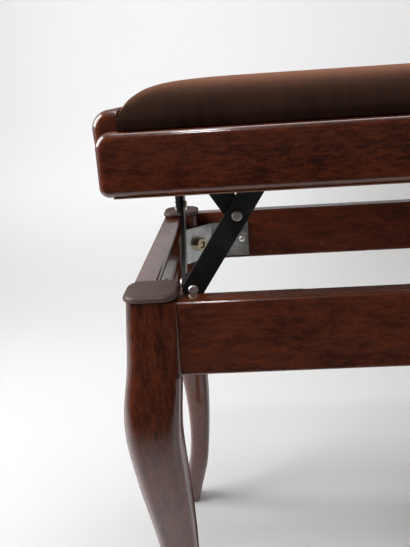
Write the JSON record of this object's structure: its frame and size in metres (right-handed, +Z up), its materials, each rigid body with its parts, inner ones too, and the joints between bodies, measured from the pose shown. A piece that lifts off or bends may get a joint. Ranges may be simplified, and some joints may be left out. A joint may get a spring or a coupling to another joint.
{
  "type": "piano stool",
  "caption": "Height-adjustable piano stool: velvet-covered padded seat in a lacquered wooden frame, raised on folding steel levers above a lower frame with curved cabriole legs.",
  "frame": {"origin": "on the floor, below the middle of the stool", "axes": "+Z up, +X along the seat's length, -Y towards the side that faces the camera in the picture"},
  "size_m": [0.592, 0.331, 0.53],
  "materials": {
    "lacquered_wood": "dark red-brown gloss lacquer",
    "velvet": "short brown velvet pile",
    "black_steel": "black enamel",
    "zinc_steel": "galvanised",
    "yellow_zinc": "yellow zinc plate",
    "nickel": "bright nickel",
    "drive_steel": "bright turned steel",
    "felt": "brown felt",
    "plywood": "bare plywood",
    "glide_plastic": "matt black",
    "bush_plastic": "matt black"
  },
  "bodies": {
    "base": {"leg_front_left": "lacquered_wood", "leg_front_right": "lacquered_wood", "leg_back_left": "lacquered_wood", "leg_back_right": "lacquered_wood", "lower_front_rail": "lacquered_wood", "lower_back_rail": "lacquered_wood", "lower_left_rail": "lacquered_wood", "lower_right_rail": "lacquered_wood", "corner_plate_front_left": "zinc_steel", "corner_plate_front_right": "zinc_steel", "corner_plate_back_left": "zinc_steel", "corner_plate_back_right": "zinc_steel", "hanger_bolts": "yellow_zinc", "hanger_nuts": "yellow_zinc", "plate_screws": "zinc_steel", "foot_glides": "glide_plastic", "front_pivot_bracket": "black_steel", "back_pivot_bracket": "black_steel", "bracket_screws": "zinc_steel", "lower_rivets": "nickel"},
    "seat": {"seat_front_rail": "lacquered_wood", "seat_back_rail": "lacquered_wood", "seat_left_end": "lacquered_wood", "seat_right_end": "lacquered_wood", "felt_strips": "felt", "seat_board": "plywood", "cushion": "velvet", "front_guide_rail": "black_steel", "back_guide_rail": "black_steel", "left_guide_rail": "black_steel", "right_guide_rail": "black_steel", "guide_screws": "zinc_steel", "upper_rivets": "nickel", "spindle_bushes": "bush_plastic"},
    "lever_front": {"front_arm": "black_steel", "front_middle_rivet": "nickel"},
    "stay_front": {"front_link": "black_steel"},
    "lever_back": {"back_arm": "black_steel", "back_middle_rivet": "nickel"},
    "stay_back": {"back_link": "black_steel"},
    "lever_left": {"left_arm": "black_steel", "left_middle_rivet": "nickel", "left_slide_pin": "nickel"},
    "stay_left": {"left_link": "black_steel"},
    "lever_right": {"right_arm": "black_steel", "right_middle_rivet": "nickel", "right_slide_pin": "nickel"},
    "stay_right": {"right_link": "black_steel"},
    "carriage_left": {"left_crossbar": "drive_steel", "left_nut_block": "drive_steel"},
    "carriage_right": {"right_crossbar": "drive_steel", "right_nut_block": "drive_steel"},
    "drive_screw": {"spindle": "drive_steel", "left_knob": "lacquered_wood", "right_knob": "lacquered_wood"}
  },
  "joints": [
    {"name": "front_lever_hinge", "type": "hinge", "parent": "base", "child": "lever_front", "pos_m": [-0.2196, -0.1322, 0.3905], "axis": [0, -1, 0], "range_deg": [-38.88, 9.3]},
    {"name": "front_stay_hinge", "type": "hinge", "parent": "lever_front", "child": "stay_front", "pos_m": [-0.18737, -0.1322, 0.44051], "axis": [0, -1, 0], "range_deg": [-18.7, 77.86]},
    {"name": "left_lever_hinge", "type": "hinge", "parent": "base", "child": "lever_left", "pos_m": [-0.22775, -0.117, 0.3905], "axis": [1, 0, 0], "range_deg": [-38.98, 9.4]},
    {"name": "left_stay_hinge", "type": "hinge", "parent": "lever_left", "child": "stay_left", "pos_m": [-0.22775, -0.08477, 0.44051], "axis": [1, 0, 0], "range_deg": [-18.7, 77.86]},
    {"name": "back_lever_hinge", "type": "hinge", "parent": "base", "child": "lever_back", "pos_m": [0.2196, 0.1322, 0.3905], "axis": [0, 1, 0], "range_deg": [-38.98, 9.4]},
    {"name": "back_stay_hinge", "type": "hinge", "parent": "lever_back", "child": "stay_back", "pos_m": [0.18737, 0.1322, 0.44051], "axis": [0, 1, 0], "range_deg": [-18.7, 77.86]},
    {"name": "right_lever_hinge", "type": "hinge", "parent": "base", "child": "lever_right", "pos_m": [0.22775, 0.117, 0.3905], "axis": [-1, 0, 0], "range_deg": [-38.98, 9.4]},
    {"name": "right_stay_hinge", "type": "hinge", "parent": "lever_right", "child": "stay_right", "pos_m": [0.22775, 0.08477, 0.44051], "axis": [-1, 0, 0], "range_deg": [-18.7, 77.86]},
    {"name": "seat_hinge", "type": "hinge", "parent": "stay_front", "child": "seat", "pos_m": [-0.2196, -0.1322, 0.49053], "axis": [0, -1, 0], "range_deg": [-38.98, 9.4]},
    {"name": "left_carriage_hinge", "type": "hinge", "parent": "lever_front", "child": "carriage_left", "pos_m": [-0.15514, -0.1322, 0.49053], "axis": [0, -1, 0], "range_deg": [-9.4, 38.98]},
    {"name": "right_carriage_hinge", "type": "hinge", "parent": "lever_back", "child": "carriage_right", "pos_m": [0.15514, 0.1322, 0.49053], "axis": [0, 1, 0], "range_deg": [-9.4, 38.98]},
    {"name": "drive_screw_turn", "type": "hinge", "parent": "seat", "child": "drive_screw", "pos_m": [0, 0, 0.47353], "axis": [1, 0, 0], "range_deg": [-2337.8, 563]}
  ],
  "couplings": [
    {"joint": "front_stay_hinge", "follows": "front_lever_hinge", "ratio": -2},
    {"joint": "left_lever_hinge", "follows": "front_lever_hinge", "ratio": 1},
    {"joint": "left_stay_hinge", "follows": "front_lever_hinge", "ratio": -2},
    {"joint": "back_lever_hinge", "follows": "front_lever_hinge", "ratio": 1},
    {"joint": "back_stay_hinge", "follows": "front_lever_hinge", "ratio": -2},
    {"joint": "right_lever_hinge", "follows": "front_lever_hinge", "ratio": 1},
    {"joint": "right_stay_hinge", "follows": "front_lever_hinge", "ratio": -2},
    {"joint": "seat_hinge", "follows": "front_lever_hinge", "ratio": 1},
    {"joint": "left_carriage_hinge", "follows": "front_lever_hinge", "ratio": -1},
    {"joint": "right_carriage_hinge", "follows": "front_lever_hinge", "ratio": -1},
    {"joint": "drive_screw_turn", "follows": "front_lever_hinge", "ratio": 60}
  ]
}
